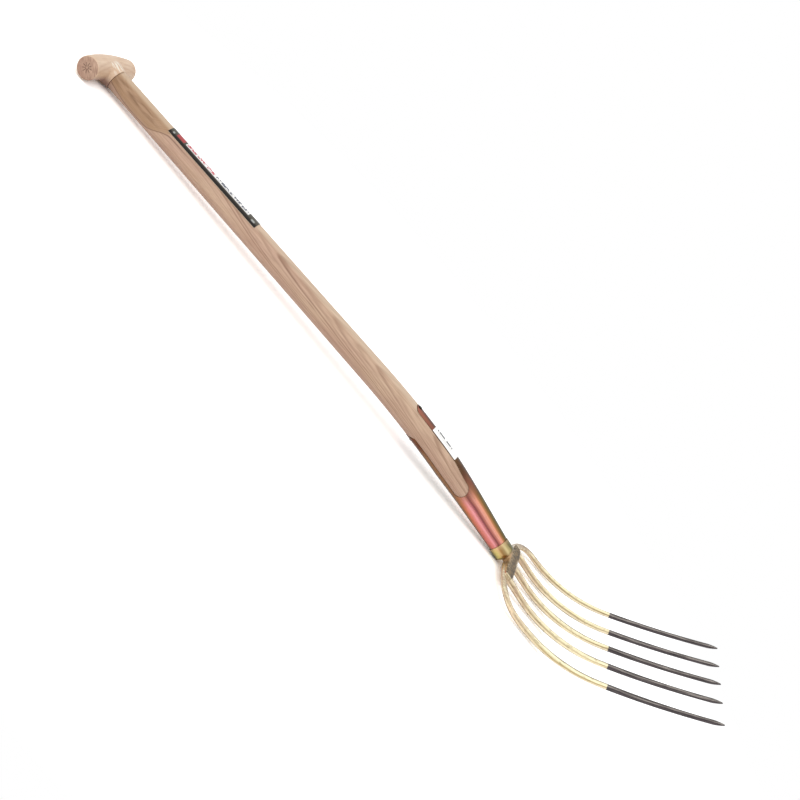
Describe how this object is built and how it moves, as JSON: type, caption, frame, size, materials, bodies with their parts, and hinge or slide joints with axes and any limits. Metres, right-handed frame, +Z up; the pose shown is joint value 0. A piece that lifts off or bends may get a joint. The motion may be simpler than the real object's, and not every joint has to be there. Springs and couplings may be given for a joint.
{
  "type": "manure fork",
  "caption": "Garden and stable fork: forged steel head with slender curved tines in a strapped tubular socket on a bent ash shaft with a wooden T grip.",
  "frame": {"origin": "middle of the box round the fork, at the level of the floor it lies on", "axes": "the fork lies on its back: +X from the grip to the tine points, +Y across the head, +Z up, the hollow side of the tines"},
  "size_m": [1.1466, 0.226, 0.1298],
  "materials": {
    "grip_wood": "pale ash, turned and sanded, clear coat",
    "wedge_wood": "dark hardwood, end grain",
    "shaft_wood": "ash, straight grain, clear coat",
    "black_film": "printed film, no lettering",
    "chromated_steel": "zinc plated and yellow chromated, glossy, shot with pink and orange",
    "white_paper": "matt, no lettering",
    "green_chromated_steel": "zinc plated and yellow chromated, glossy, yellow green",
    "lacquered_steel": "pale gold lacquer, dark dipped points",
    "dark_steel": "dark olive, scaled"
  },
  "bodies": {
    "root": {"t_grip": "grip_wood", "tenon_wedge": "wedge_wood", "shaft": "shaft_wood", "shaft_sticker": "black_film", "strapped_socket": "chromated_steel", "strap_label": "white_paper", "socket_collar": "green_chromated_steel", "fork_head": "lacquered_steel", "strap_nail_front": "dark_steel", "strap_nail_back": "dark_steel"}
  },
  "joints": []
}
